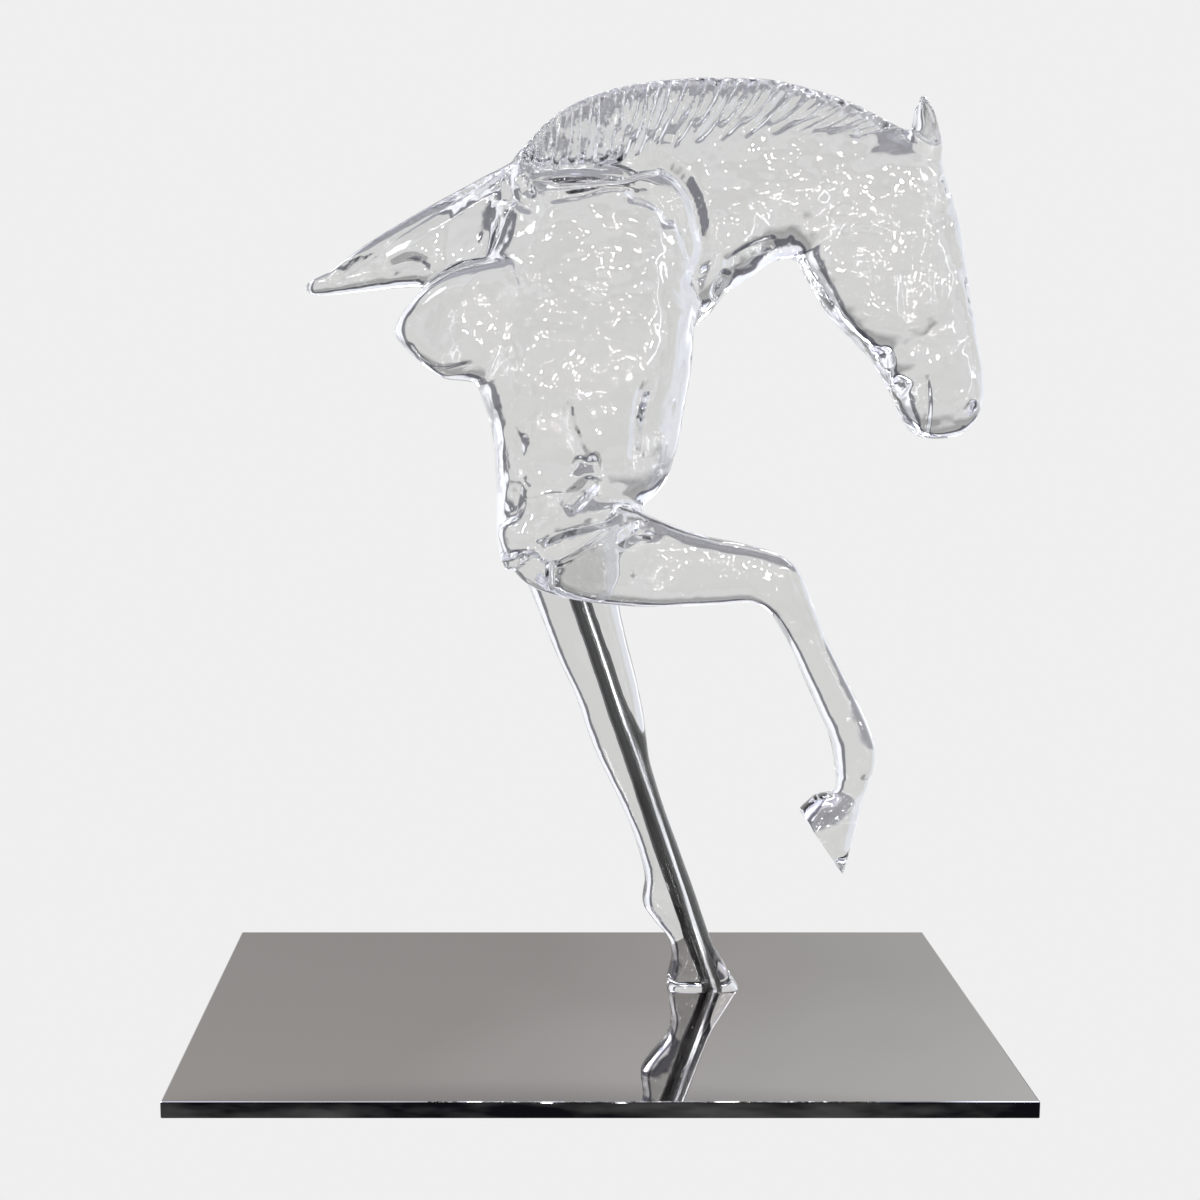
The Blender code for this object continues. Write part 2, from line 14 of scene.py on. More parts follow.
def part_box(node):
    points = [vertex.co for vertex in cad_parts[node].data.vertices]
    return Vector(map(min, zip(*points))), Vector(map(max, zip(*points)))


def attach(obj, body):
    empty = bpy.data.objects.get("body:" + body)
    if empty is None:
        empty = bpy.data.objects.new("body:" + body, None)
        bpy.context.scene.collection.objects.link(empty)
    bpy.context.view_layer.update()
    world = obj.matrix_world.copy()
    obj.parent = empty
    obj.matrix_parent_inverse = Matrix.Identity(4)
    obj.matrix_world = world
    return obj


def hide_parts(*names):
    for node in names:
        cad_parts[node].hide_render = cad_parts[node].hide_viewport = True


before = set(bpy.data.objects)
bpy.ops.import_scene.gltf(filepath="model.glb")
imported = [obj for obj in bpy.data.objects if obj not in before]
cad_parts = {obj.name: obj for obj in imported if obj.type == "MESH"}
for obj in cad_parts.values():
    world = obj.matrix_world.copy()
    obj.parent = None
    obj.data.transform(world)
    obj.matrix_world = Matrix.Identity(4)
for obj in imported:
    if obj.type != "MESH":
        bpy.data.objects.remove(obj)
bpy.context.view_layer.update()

# Sizes shared with the solids, in metres, and the rod's foot and the raised sole in shares of height
PLATE_THICKNESS = 0.012
ROD_RADIUS = 0.0075
ROD_LEAN = math.radians(18.8)
GAP = 0.0003
SHARE = 0.704 / 100
LEG_SPREAD = 0.046
ROD_FOOT_U = 14.05
RAISED_SOLE = ((26.2, 17.4), (21.8, 23.9))
STANDING_SOLE_X = 0.099
LEFT, RIGHT = 1, -1
BOTH = (LEFT, RIGHT)

# Fine surface
VOXEL = 0.0028
SMOOTHING_STEPS = 7
LOFT_SIDES = 72
ROWS_PER_SPAN = 12
PATH_STEPS = 4
REFINED_MARGIN = 0.3
CUT_REACH = 0.06

# Carving: the far side's share of the near side's depth, how fast a stroke fades at its ends and
# where the skin turns away, and the most that a channel takes from a thin form
FAR_SIDE = 0.12
FAR_MANE = 0.35
END_FADE = 5
SIDE_FADE = 2.5
DEEPEST = 0.45

# The mane's strands, in shares: how many, their middle width and depth, and how much each changes
STRANDS = 104
STRAND_WIDTH, WIDTH_CHANGE = 0.44, 0.16
STRAND_DEPTH, DEPTH_CHANGE = 0.40, 0.20

# Waves that polishing leaves: how many to a metre, and their height in metres
RIPPLES = ((26, 0.0012), (60, 0.0012), (140, 0.00045))

# Greys of the floor and the sky behind it, and colours that the resin bends into its rims and channels
FLOOR_GREY = 0.865
DARK = (0.105, 0.105, 0.13)
PALE = (1.16, 1.17, 1.26)
BRIGHT = (1.56, 1.58, 1.70)
COOL = (1.15, 1.18, 1.27)
CARD = (0.27, 0.27, 0.31)
LOW = (0.48, 0.48, 0.52)
COOL_PATCH = (0.94, 0.95, 1.04, 1)

# The sky's bands, each a list of places from 0 to 1 with the grey or colour there: by height,
# by the noise of the patches, by height for where the patches show, by bearing within each
# quarter of the horizon, and by depth below it
SKY_RISE = [
    (0.0, FLOOR_GREY), (0.20, FLOOR_GREY), (0.29, 0.42), (0.39, 0.50), (0.42, DARK), (0.51, DARK),
    (0.56, PALE), (1.0, PALE),
]
SKY_PATCHES = [(0.0, 0.12), (0.42, 0.14), (0.50, 1.0), (1.0, 1.0)]
PATCHES_FROM = [(0.0, 0), (0.62, 0), (0.70, 1), (1.0, 1)]
SKY_BEARINGS = [
    (0.0, 1.0), (0.21, 1.0), (0.26, COOL), (0.42, COOL), (0.47, BRIGHT), (0.62, BRIGHT), (0.65, CARD),
    (0.71, CARD), (0.735, 1.0), (1.0, 1.0),
]
SKY_BELOW = [(0.0, 1.0), (0.34, 1.0), (0.38, LOW), (0.66, LOW), (0.74, 1.0), (1.0, 1.0)]

# The low band lies behind the horse only: its middle and half width, in quarter turns
BEHIND, BEHIND_REACH = 1, 0.3

# Large lamps: place, size and power
SOFT_BOXES = (
    ((-2.0, -1.4, 2.2), (0.5, 0.7), 15),
    ((2.1, -1.4, 1.9), (0.25, 0.4), 5),
    ((1.5, -1.7, 1.0), (0.08, 1.7), 4),
    ((-2.0, 1.7, 2.3), (0.8, 0.6), 16),
    ((2.0, 1.7, 2.2), (0.7, 0.8), 16),
    ((0.2, 1.2, 2.8), (1.0, 0.5), 10),
)
LAMP_COLOUR = (0.95, 0.96, 1.0)
LAMP_AIM = (0, 0, 0.4)

# The photo's camera: its place, and its focal length, sideways shift and fall below the level
# in pixels of the photo's width
CAMERA_PLACE = (-0.054, -1.334, 0.5166)
PHOTO_WIDTH = 1200
FOCAL_LENGTH = 1780
SIDE_SHIFT = 79
FALL = 246
SENSOR_WIDTH = 36

# One row for each cross-section: the front or upper point (u, v), the back or lower point (u, v),
# the half width, the distance of its middle from the horse's middle plane, the fullness (2 is an
# ellipse, more is boxier) and the keel (above 0 it is wider at the front or top).
TORSO = [
    (3.4, 91.0, -7.4, 90.6, 3.4, 0, 2.9, 0),
    (6.6, 90.2, -8.6, 89.8, 6.0, 0, 3.1, 0),
    (9.4, 87.6, -9.4, 87.6, 7.3, 0, 3.3, 0),
    (11.0, 83.6, -10.6, 84.0, 8.3, 0, 3.3, 0),
    (11.1, 79.0, -12.0, 79.5, 9.2, 0, 3.1, 0.04),
    (10.0, 74.0, -13.0, 74.5, 10.2, 0, 3.7, 0.06),
    (9.2, 69.0, -12.6, 69.5, 10.5, 0, 3.7, 0.04),
    (8.3, 64.0, -10.9, 64.5, 10.1, 0, 3.7, 0),
    (7.0, 59.5, -10.4, 60.0, 9.4, 0, 3.7, 0),
    (5.4, 56.8, -10.3, 56.2, 8.9, 0, 3.2, 0),
    (3.2, 54.8, -10.4, 53.2, 8.3, 0, 3.0, 0),
    (0.6, 52.6, -9.8, 50.4, 7.3, 0, 2.8, 0),
    (-1.6, 51.2, -7.8, 49.0, 5.5, 0, 2.6, 0),
    (-3.0, 50.4, -6.0, 49.4, 3.2, 0, 2.4, 0),
]
BREAST = [
    (10.0, 77.8, 5.0, 76.6, 2.0, 2.4, 2.2, 0),
    (10.2, 74.4, 3.0, 72.6, 4.0, 3.3, 2.2, 0),
    (9.9, 70.0, 2.0, 68.6, 4.9, 3.8, 2.2, 0),
    (9.2, 65.6, 1.0, 64.4, 5.0, 4.0, 2.2, 0),
    (8.4, 61.4, 0.0, 60.6, 4.7, 4.0, 2.2, 0),
    (7.2, 58.2, -1.0, 57.4, 3.9, 3.9, 2.2, 0),
    (5.3, 56.1, -1.0, 56.0, 2.4, 3.8, 2.2, 0),
]
NECK = [
    (-9.4, 90.6, -7.0, 84.6, 3.4, 0, 2.5, -0.20),
    (-7.6, 92.8, -3.6, 79.0, 4.6, 0, 2.5, -0.36),
    (-5.0, 95.6, 1.0, 75.4, 5.3, 0, 2.5, -0.44),
    (-1.0, 98.0, 7.2, 73.2, 5.9, 0, 2.6, -0.48),
    (3.6, 99.3, 11.4, 75.2, 6.1, 0, 2.6, -0.50),
    (8.2, 99.85, 13.8, 77.9, 5.7, 0, 2.6, -0.48),
    (13.0, 100.0, 16.2, 79.5, 5.3, 0, 2.6, -0.44),
    (18.0, 99.8, 18.4, 81.1, 4.9, 0, 2.6, -0.38),
    (23.6, 98.5, 21.0, 81.4, 4.7, 0, 2.6, -0.28),
    (28.5, 96.6, 24.6, 79.0, 4.4, 0, 2.6, -0.20),
    (31.8, 94.8, 28.4, 76.6, 3.9, 0, 2.6, -0.10),
    (33.6, 93.4, 31.4, 78.0, 2.8, 0, 2.5, 0),
]
HEAD = [
    (33.6, 94.2, 27.0, 95.6, 2.4, 0, 3.2, 0),
    (35.5, 91.4, 23.0, 88.8, 4.5, 0, 3.6, 0.06),
    (37.2, 86.3, 21.5, 82.4, 5.1, 0, 4.2, 0.03),
    (38.3, 82.0, 22.7, 79.2, 5.1, 0, 4.2, -0.01),
    (39.2, 77.3, 25.2, 75.4, 4.8, 0, 4.2, -0.03),
    (39.9, 73.8, 27.6, 73.0, 4.4, 0, 4.2, -0.03),
    (40.5, 71.0, 29.6, 70.8, 4.0, 0, 4.0, 0),
    (40.8, 68.6, 31.2, 68.2, 3.7, 0, 4.0, 0.02),
    (40.8, 66.6, 32.2, 66.2, 3.5, 0, 4.0, 0.04),
    (40.2, 64.9, 33.0, 64.5, 3.2, 0, 3.8, 0.04),
    (39.1, 63.5, 34.0, 63.3, 2.7, 0, 3.4, 0),
    (37.6, 62.8, 35.0, 62.8, 1.7, 0, 3.0, 0),
]
BACK_SPUR = [
    (-6.8, 92.2, -8.4, 82.0, 6.2, 0, 3.2, -0.06),
    (-11.4, 90.0, -13.0, 79.2, 4.6, 0, 3.4, -0.05),
    (-15.1, 88.1, -16.0, 78.7, 3.5, 0, 3.5, -0.04),
    (-20.3, 85.2, -20.6, 78.5, 3.0, 0, 3.5, -0.04),
    (-24.5, 82.6, -24.7, 78.1, 2.4, 0, 3.2, -0.04),
    (-27.6, 80.3, -27.7, 77.8, 1.7, 0, 2.8, 0),
    (-29.6, 79.4, -29.6, 77.8, 1.1, 0, 2.4, 0),
    (-30.4, 78.9, -30.4, 78.2, 0.4, 0, 2.0, 0),
]
RIB_LOBE = [
    (-9.0, 81.4, -7.0, 66.5, 4.6, 4.6, 3.6, 0),
    (-13.6, 80.4, -11.6, 68.6, 4.8, 4.2, 3.8, 0),
    (-17.0, 78.8, -15.4, 69.1, 4.5, 3.8, 3.8, 0),
    (-19.2, 76.7, -18.0, 70.8, 3.9, 3.6, 3.6, 0),
    (-20.4, 75.0, -19.7, 72.3, 3.0, 3.4, 3.2, 0),
    (-20.8, 73.9, -20.6, 73.3, 1.0, 3.4, 2.3, 0),
]
NEAR_EAR = [
    (35.6, 90.5, 31.4, 92.6, 1.3, 2.5, 2.0, 0),
    (35.5, 93.0, 32.6, 94.0, 1.3, 2.7, 2.0, 0),
    (34.9, 95.2, 32.5, 95.6, 1.1, 2.9, 2.0, 0),
    (34.1, 96.9, 32.7, 97.0, 0.7, 3.0, 2.0, 0),
    (33.4, 98.0, 33.1, 98.1, 0.3, 3.0, 2.0, 0),
]
FAR_EAR = [(a + 0.9, b - 0.2, c + 0.9, d - 0.2, *rest) for a, b, c, d, *rest in NEAR_EAR]
RAISED_LEG = [
    (-2.4, 60.6, -10.2, 53.6, 2.2, 0, 2.6, 0),
    (0.0, 57.6, -9.2, 50.6, 3.6, 0, 2.8, 0),
    (3.2, 56.4, -6.8, 48.0, 4.1, 0, 3.2, 0),
    (6.0, 55.0, -2.4, 46.6, 4.1, 0, 3.5, 0),
    (10.8, 53.2, 5.0, 45.8, 3.7, 0, 3.7, 0),
    (15.5, 52.2, 12.2, 46.1, 3.2, 0, 3.7, 0),
    (19.0, 51.2, 15.9, 46.3, 3.0, 0, 3.6, 0),
    (21.0, 49.6, 17.9, 45.4, 3.0, 0, 3.5, 0),
    (22.2, 47.0, 19.2, 43.6, 2.6, 0, 3.2, 0),
    (23.7, 43.2, 20.4, 41.4, 2.1, 0, 2.8, 0),
    (25.6, 39.3, 21.9, 38.0, 2.0, 0, 2.8, 0),
    (27.4, 35.9, 23.4, 34.8, 2.0, 0, 2.8, 0),
    (28.8, 32.9, 24.6, 32.1, 2.2, 0, 2.8, 0),
    (29.5, 30.4, 25.2, 29.4, 2.4, 0, 2.9, 0),
    (29.2, 28.2, 25.5, 27.4, 2.3, 0, 2.9, 0),
    (28.5, 26.4, 25.4, 25.8, 2.1, 0, 2.8, 0),
    (28.2, 25.0, 23.6, 25.6, 2.4, 0, 2.8, 0),
    (27.4, 21.6, 22.6, 24.8, 3.0, 0, 2.8, 0),
    (26.1, 16.6, 21.5, 23.8, 3.4, 0, 2.8, 0),
]

# The standing leg is cast round the rod, so its sections are measured from the rod: the share of
# height along it, the resin in front of it, behind it and beside it, and the fullness.
STANDING_LEG = [
    (60.5, 4.2, 2.6, 1.3, 2.8),
    (57.0, 5.6, 3.4, 2.5, 2.9),
    (53.0, 4.6, 3.9, 2.8, 3.0),
    (49.5, 3.6, 3.7, 2.8, 3.2),
    (45.5, 2.9, 3.5, 2.6, 3.4),
    (41.5, 2.45, 3.25, 2.3, 3.4),
    (37.5, 2.15, 2.8, 2.1, 3.2),
    (33.5, 1.7, 2.8, 2.0, 3.0),
    (30.2, 1.1, 2.7, 1.7, 2.8),
    (27.4, 0.55, 2.35, 1.4, 2.7),
    (24.0, 0.42, 1.95, 1.1, 2.6),
    (20.6, 0.40, 1.7, 1.0, 2.5),
    (17.0, 0.50, 1.75, 1.0, 2.5),
    (14.4, 0.55, 2.1, 1.0, 2.6),
    (12.0, 0.60, 3.2, 1.05, 2.8),
    (9.6, 0.60, 2.6, 1.05, 3.0),
    (7.2, 0.60, 1.7, 1.05, 3.2),
    (4.8, 0.65, 2.0, 1.1, 3.8),
    (2.4, 1.1, 3.3, 1.2, 4.6),
    (0.0, 1.6, 4.2, 1.3, 5.0),
    (-2.2, 2.1, 4.9, 1.3, 5.0),
]

# Sharp channels cut into the horse's skin: the path in shares, the half width, the depth and the
# sides that they are on.
CHANNELS = [
    # Neck against shoulder, with a rolled lip between the two
    (
        [(-6.6, 89.0), (-5.0, 89.3), (-1.8, 89.3), (0.7, 89.6), (2.2, 89.7), (4.2, 90.4), (6.4, 90.7),
         (7.6, 90.3)],
        1.2, 1.2, BOTH,
    ),
    (
        [(5.6, 90.6), (6.9, 90.5), (8.4, 89.4), (9.7, 87.4), (10.4, 84.8), (10.9, 82.1), (10.0, 79.6),
         (9.2, 77.9)],
        1.15, 1.4, BOTH,
    ),
    (
        [(-5.3, 86.9), (-3.3, 87.4), (-0.8, 88.0), (1.0, 88.5), (3.7, 88.4), (6.2, 87.7), (7.8, 86.1),
         (8.8, 83.4), (9.3, 81.0)],
        0.7, 0.8, BOTH,
    ),
    ([(2.6, 87.8), (4.2, 87.8), (6.0, 87.2), (7.4, 85.8), (8.0, 84.4)], 1.4, 1.3, BOTH),
    # Hollows of the flank and chest
    ([(-8.3, 64.6), (-7.9, 62.3), (-7.7, 60.2), (-7.2, 58.0)], 1.3, 0.6, BOTH),
    ([(-7.6, 59.4), (-8.0, 57.8), (-8.3, 56.2), (-8.8, 54.4)], 1.1, 0.5, BOTH),
    ([(-3.1, 68.4), (-2.9, 66.0), (-2.4, 64.0), (-1.5, 61.9), (-0.6, 60.6)], 0.75, 0.8, BOTH),
    ([(-2.4, 61.2), (-0.8, 60.5), (0.5, 60.8)], 1.4, 1.25, BOTH),
    ([(-0.2, 59.6), (-1.4, 57.8), (-3.4, 56.2)], 1.2, 1.1, BOTH),
    ([(5.3, 69.6), (4.4, 67.5), (4.0, 65.1), (3.9, 62.6), (3.7, 60.0)], 0.85, 0.85, BOTH),
    # Folds over the elbow
    ([(-6.2, 52.6), (-4.1, 53.8), (-1.7, 54.4), (0.4, 55.0), (2.4, 55.8)], 0.85, 1.2, (RIGHT,)),
    ([(-6.2, 51.8), (-4.9, 51.0), (-3.5, 51.2), (-1.4, 52.5), (1.6, 54.7)], 0.5, 0.6, (RIGHT,)),
    ([(-4.7, 51.4), (-4.8, 49.8), (-4.8, 47.8)], 0.5, 0.6, (RIGHT,)),
    ([(2.2, 52.4), (4.4, 54.0), (6.8, 53.2)], 0.95, 1.3, (RIGHT,)),
    # Back and rib lobes
    ([(-19.2, 72.9), (-18.2, 71.1), (-15.9, 69.9), (-13.9, 70.3), (-12.3, 70.8)], 0.5, 0.4, BOTH),
    ([(-22.0, 80.2), (-20.3, 80.9), (-18.9, 81.1), (-16.9, 80.4)], 1.1, 1.1, BOTH),
    (
        [(-24.6, 80.8), (-22.7, 82.2), (-20.6, 83.9), (-18.4, 85.4), (-14.6, 87.9), (-11.4, 89.8),
         (-8.2, 90.8)],
        2.0, 0.75, BOTH,
    ),
    ([(-27.8, 79.0), (-25.6, 80.3), (-23.7, 81.5), (-21.4, 82.9)], 0.9, 0.85, BOTH),
    # Jaw, mouth and nostril
    ([(28.4, 71.4), (29.6, 71.2), (30.8, 71.6)], 1.2, 0.9, BOTH),
    ([(30.9, 68.6), (31.7, 68.3), (32.5, 67.8)], 1.1, 1.1, BOTH),
    ([(34.3, 69.6), (34.7, 66.4), (34.6, 62.8)], 0.4, 0.45, BOTH),
    ([(38.7, 65.4), (39.1, 66.2), (39.6, 66.8)], 0.6, 0.7, BOTH),
    ([(30.4, 94.4), (31.4, 94.3), (31.8, 93.6), (32.3, 92.8)], 0.3, 0.25, BOTH),
    ([(35.3, 89.8), (35.9, 88.8), (36.4, 87.6)], 0.7, 0.6, BOTH),
    ([(38.0, 79.6), (38.6, 77.6), (39.0, 75.4)], 0.5, 0.45, BOTH),
    # Throat
    ([(12.8, 80.6), (14.4, 81.5), (15.4, 82.1), (17.0, 82.7), (18.6, 83.3)], 0.8, 0.7, BOTH),
    ([(12.0, 77.2), (12.4, 78.7), (13.4, 80.2)], 0.6, 0.5, BOTH),
    # Back of the raised hoof
    ([(22.0, 25.2), (23.8, 25.8), (25.5, 25.6)], 0.7, 0.5, BOTH),
]

# Soft hollows and, with a depth below 0, soft swellings, where side 0 is all round.
CARVING = [
    ([(-9.2, 89.8), (-8.8, 87.9), (-7.6, 86.6), (-6.2, 86.0)], 0.7, 0.4, BOTH),
    ([(-7.6, 89.6), (-7.0, 88.2), (-6.4, 87.2)], 0.6, 0.35, BOTH),
    ([(4.9, 48.0), (5.9, 50.6), (7.2, 53.4)], 2.3, 0.5, (RIGHT,)),
    ([(-8.3, 51.6), (-8.1, 50.8), (-7.8, 50.2)], 2.6, -0.9, (RIGHT,)),
    ([(33.8, 84.7), (35.2, 85.4), (36.9, 86.1)], 0.8, 0.35, BOTH),
    ([(33.4, 83.7), (34.4, 83.5)], 0.5, 0.3, BOTH),
    ([(33.4, 86.6), (34.6, 87.4), (35.8, 87.3)], 1.1, -0.20, BOTH),
    ([(26.7, 87.1), (23.7, 86.7), (20.7, 84.4)], 1.6, 0.25, BOTH),
    ([(24.5, 84.3), (25.7, 84.7), (27.9, 84.9), (30.0, 84.5)], 0.7, 0.3, BOTH),
    ([(31.1, 81.0), (31.6, 78.2), (32.1, 74.6)], 0.8, 0.3, BOTH),
    ([(33.4, 81.0), (33.9, 77.6), (34.4, 74.6)], 0.9, -0.25, BOTH),
    ([(34.0, 73.1), (34.6, 74.0), (35.4, 74.7)], 0.4, 0.3, BOTH),
    ([(17.8, 51.0), (19.2, 50.2), (20.2, 48.8)], 1.1, -0.25, BOTH),
    ([(25.2, 27.9), (27.8, 27.5), (30.0, 28.0)], 0.5, 0.22, (0,)),
]

# The mane's grooves: the root, the middle and the tip of one in every group, in shares.
MANE = [
    (-7.6, 94.4, -7.4, 92.2, -7.2, 90.4),
    (-4.9, 96.6, -5.0, 92.8, -5.2, 89.6),
    (-2.2, 98.2, -2.3, 93.6, -2.7, 89.8),
    (0.8, 99.4, 0.4, 94.4, -0.1, 89.9),
    (3.7, 100.2, 3.1, 94.9, 1.9, 90.4),
    (6.8, 100.6, 5.6, 95.5, 4.0, 91.4),
    (11.2, 100.9, 9.4, 96.3, 7.0, 92.4),
    (15.9, 100.9, 13.7, 96.5, 10.9, 92.8),
    (21.0, 100.2, 18.2, 96.7, 14.7, 93.3),
    (25.9, 98.8, 22.8, 96.3, 18.8, 93.7),
    (29.4, 97.2, 26.6, 95.4, 22.8, 93.8),
    (31.8, 95.8, 29.4, 94.8, 26.6, 93.8),
]


def smooth_rows(rows, per_span):
    """The rows with others between them, on one smooth curve through all of them."""
    rows = np.array(rows, float)
    padded = np.vstack([2 * rows[0] - rows[1], rows, 2 * rows[-1] - rows[-2]])
    made = []
    for a, b, c, d in zip(padded, padded[1:], padded[2:], padded[3:]):
        for t in np.arange(per_span) / per_span:
            bend = t * (2 * a - 5 * b + 4 * c - d + t * (3 * (b - c) + d - a))
            made.append(b + 0.5 * t * (c - a + bend))
    made.append(rows[-1])
    return np.array(made)


def add_loft(shape, sections):
    """Skins a run of closed sections, each a function of the turn round it, and caps both ends."""
    turns = [2 * math.pi * i / LOFT_SIDES for i in range(LOFT_SIDES)]
    rings = [[shape.verts.new(section(turn)) for turn in turns] for section in sections]
    for ring, following in zip(rings, rings[1:]):
        for i in range(LOFT_SIDES):
            j = (i + 1) % LOFT_SIDES
            shape.faces.new((ring[i], ring[j], following[j], following[i]))
    shape.faces.new(rings[0][::-1])
    shape.faces.new(rings[-1])


def rounded(value, fullness):
    """A sine or cosine bent so that the curve it draws is boxier, where fullness 2 leaves it as it is."""
    return math.copysign(abs(value) ** (2 / fullness), value)


def outline_section(row, side, spread):
    """A section of the horse from a row of front and back points. Its widths lie along Y."""
    front_u, front_v, back_u, back_v, half_width, offset, fullness, keel = row
    middle = Vector((front_u + back_u, 0, front_v + back_v)) / 2 * SHARE
    reach = Vector((front_u - back_u, 0, front_v - back_v)) / 2 * SHARE
    middle.y = side * (offset * SHARE + spread)
    middle.z += PLATE_THICKNESS

    def point(turn):
        along = rounded(math.cos(turn), fullness)
        across = rounded(math.sin(turn), fullness) * half_width * (1 + keel * along)
        return middle + reach * along + Vector((0, across * SHARE, 0))

    return point


def rod_frame():
    """The rod's foot on the plate's top, the way up it and the way forwards across it."""
    foot = Vector((ROD_FOOT_U * SHARE, LEG_SPREAD, PLATE_THICKNESS))
    up = Vector((-math.sin(ROD_LEAN), 0, math.cos(ROD_LEAN)))
    ahead = Vector((math.cos(ROD_LEAN), 0, math.sin(ROD_LEAN)))
    return foot, up, ahead


def rod_section(row):
    """A section of the standing leg, square to the rod, from the resin that covers the rod."""
    along, ahead_of, behind, beside, fullness = row
    foot, up, ahead = rod_frame()
    front = ROD_RADIUS + GAP + ahead_of * SHARE
    back = ROD_RADIUS + GAP + behind * SHARE
    width = ROD_RADIUS + GAP + beside * SHARE
    middle = foot + up * along * SHARE + ahead * (front - back) / 2

    def point(turn):
        across = Vector((0, rounded(math.sin(turn), fullness) * width, 0))
        return middle + ahead * rounded(math.cos(turn), fullness) * (front + back) / 2 + across

    return point


def distance_to_path(points, path):
    """How far each point is from the path, and how far along the path it lies, from 0 to 1."""
    nearest = np.full(len(points), np.inf)
    place = np.zeros(len(points))
    spans = len(path) - 1
    for i, (start, end) in enumerate(zip(path, path[1:])):
        span = end - start
        share = np.clip((points - start) @ span / max(span @ span, 1e-12), 0, 1)
        distance = np.linalg.norm(points - start - share[:, None] * span, axis=1)
        closer = distance < nearest
        nearest[closer] = distance[closer]
        place[closer] = (i + share[closer]) / spans
    return nearest, place


def horse_masses():
    """The horse's main forms, overlapping, in one mesh."""
    shape = bmesh.new()
    for rows, sides, spread in (
        (TORSO, (0,), 0),
        (BREAST, (LEFT, RIGHT), 0),
        (NECK, (0,), 0),
        (HEAD, (0,), 0),
        (BACK_SPUR, (0,), 0),
        (RIB_LOBE, (LEFT, RIGHT), 0),
        (NEAR_EAR, (RIGHT,), 0),
        (FAR_EAR, (LEFT,), 0),
        (RAISED_LEG, (RIGHT,), LEG_SPREAD),
    ):
        for side in sides:
            rows_between = smooth_rows(rows, ROWS_PER_SPAN)
            add_loft(shape, [outline_section(row, side, spread) for row in rows_between])
    add_loft(shape, [rod_section(row) for row in smooth_rows(STANDING_LEG, ROWS_PER_SPAN)])
    bmesh.ops.recalc_face_normals(shape, faces=shape.faces)
    mesh = bpy.data.meshes.new("resin_horse")
    shape.to_mesh(mesh)
    shape.free()
    return mesh


def applied(item):
    """Gives an object the mesh that its modifiers make."""
    graph = bpy.context.evaluated_depsgraph_get()
    graph.update()
    mesh = bpy.data.meshes.new_from_object(item.evaluated_get(graph))
    item.modifiers.clear()
    item.data = mesh
    return mesh


def smooth_skin(item, steps):
    """Eases the skin, the more steps the more, and gives back its mesh."""
    smooth = item.modifiers.new("Ease", "SMOOTH")
    smooth.factor = 0.5
    smooth.iterations = steps
    return applied(item)


def fuse(item):
    """Joins the overlapping forms into one skin and eases the creases between them."""
    remesh = item.modifiers.new("Fuse", "REMESH")
    remesh.mode = "VOXEL"
    remesh.voxel_size = VOXEL
    return smooth_skin(item, SMOOTHING_STEPS)



def read_skin(mesh):
    """A mesh's points and normals, and its points as shares of the horse's height."""
    count = len(mesh.vertices)
    points = np.empty(count * 3)
    normals = np.empty(count * 3)
    mesh.vertices.foreach_get("co", points)
    mesh.vertex_normals.foreach_get("vector", normals)
    points = points.reshape(-1, 3)
    normals = normals.reshape(-1, 3)
    flat = np.column_stack([points[:, 0], points[:, 2] - PLATE_THICKNESS]) / SHARE
    return points, normals, flat


def mane_strands():
    """The mane's grooves as carving, each a little unlike the next."""
    strokes = []
    rows = smooth_rows(MANE, 40)
    for i in range(STRANDS):
        row = rows[int(i * (len(rows) - 1) / (STRANDS - 1))]
        root, middle, tip = row[:2], row[2:4], row[4:]
        reach = 0.84 + 0.14 * math.sin(7.3 * i) + 0.08 * math.sin(2.1 * i)
        sway = np.array([0.25 * math.sin(4.1 * i), 0.12 * math.sin(5.7 * i)])
        middle = root + (middle - root) * reach + sway
        end = root + (tip - root) * reach + 1.5 * sway
        width = STRAND_WIDTH + WIDTH_CHANGE * math.sin(3.3 * i)
        depth = STRAND_DEPTH + DEPTH_CHANGE * math.sin(1.7 * i)
        strokes.append((np.array([root, middle, end]), width, depth, BOTH))
    return strokes


def refine_near(mesh, strokes):
    """Splits the faces under the finest carving, so that it has enough points."""
    points, _, flat = read_skin(mesh)
    close = np.zeros(len(points), bool)
    for path, half_width, _, sides in strokes:
        path = smooth_rows(path, PATH_STEPS)
        reach = half_width + REFINED_MARGIN
        low, high = path.min(axis=0) - reach, path.max(axis=0) + reach
        carved = np.isin(0, sides) | (points[:, 1] < 0)
        near = np.flatnonzero(((flat > low) & (flat < high)).all(axis=1) & carved)
        distance, _ = distance_to_path(flat[near], path)
        close[near[distance < reach]] = True
    shape = bmesh.new()
    shape.from_mesh(mesh)
    shape.verts.ensure_lookup_table()
    edges = [edge for edge in shape.edges if all(close[vert.index] for vert in edge.verts)]
    bmesh.ops.subdivide_edges(shape, edges=edges, cuts=1, use_grid_fill=True)
    shape.to_mesh(mesh)
    shape.free()


